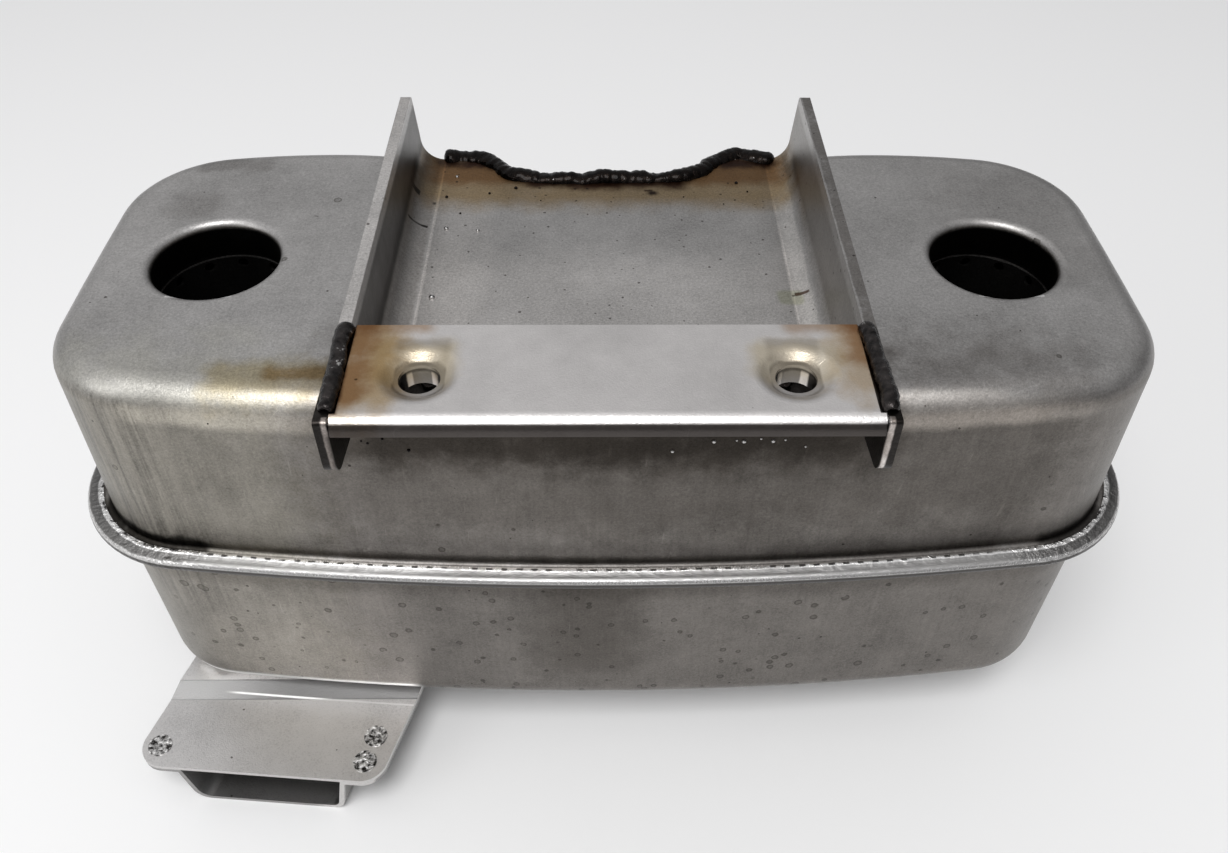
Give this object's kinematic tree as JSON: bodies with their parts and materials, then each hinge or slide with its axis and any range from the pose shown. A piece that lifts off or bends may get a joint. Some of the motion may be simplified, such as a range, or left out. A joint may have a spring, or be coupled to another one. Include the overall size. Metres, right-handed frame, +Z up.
{
  "type": "muffler",
  "caption": "Flat rounded engine muffler of drawn steel shells with a rolled hem, top inlets, a welded mounting bracket with a bolt strap, and a flat side outlet.",
  "frame": {"origin": "middle of the two bolt holes, on the upper face of the bolt strap", "axes": "+X along the muffler's length towards the inlet that is away from the outlet, +Y from the bolt strap towards the inlets, +Z up, out of the inlets"},
  "size_m": [0.3208, 0.1699, 0.1895],
  "materials": {
    "shell_steel": "satin bare sheet steel",
    "inner_steel": "dull bare sheet steel",
    "bracket_steel": "satin bare plate steel",
    "duct_steel": "satin bare sheet steel",
    "weld_bead": "glossy scaled weld metal",
    "spot_weld": "rough weld metal"
  },
  "bodies": {
    "root": {"upper_shell": "shell_steel", "lower_shell": "shell_steel", "baffle_plate": "inner_steel", "inlet_tube_left": "inner_steel", "inlet_tube_right": "inner_steel", "transfer_tube_left": "inner_steel", "transfer_tube_right": "inner_steel", "mounting_bracket": "bracket_steel", "bolt_strap": "bracket_steel", "rear_weld": "weld_bead", "front_welds": "weld_bead", "strap_weld_left": "weld_bead", "strap_weld_right": "weld_bead", "outlet_plate": "duct_steel", "outlet_pan": "duct_steel", "outlet_spot_welds": "spot_weld"}
  },
  "joints": []
}
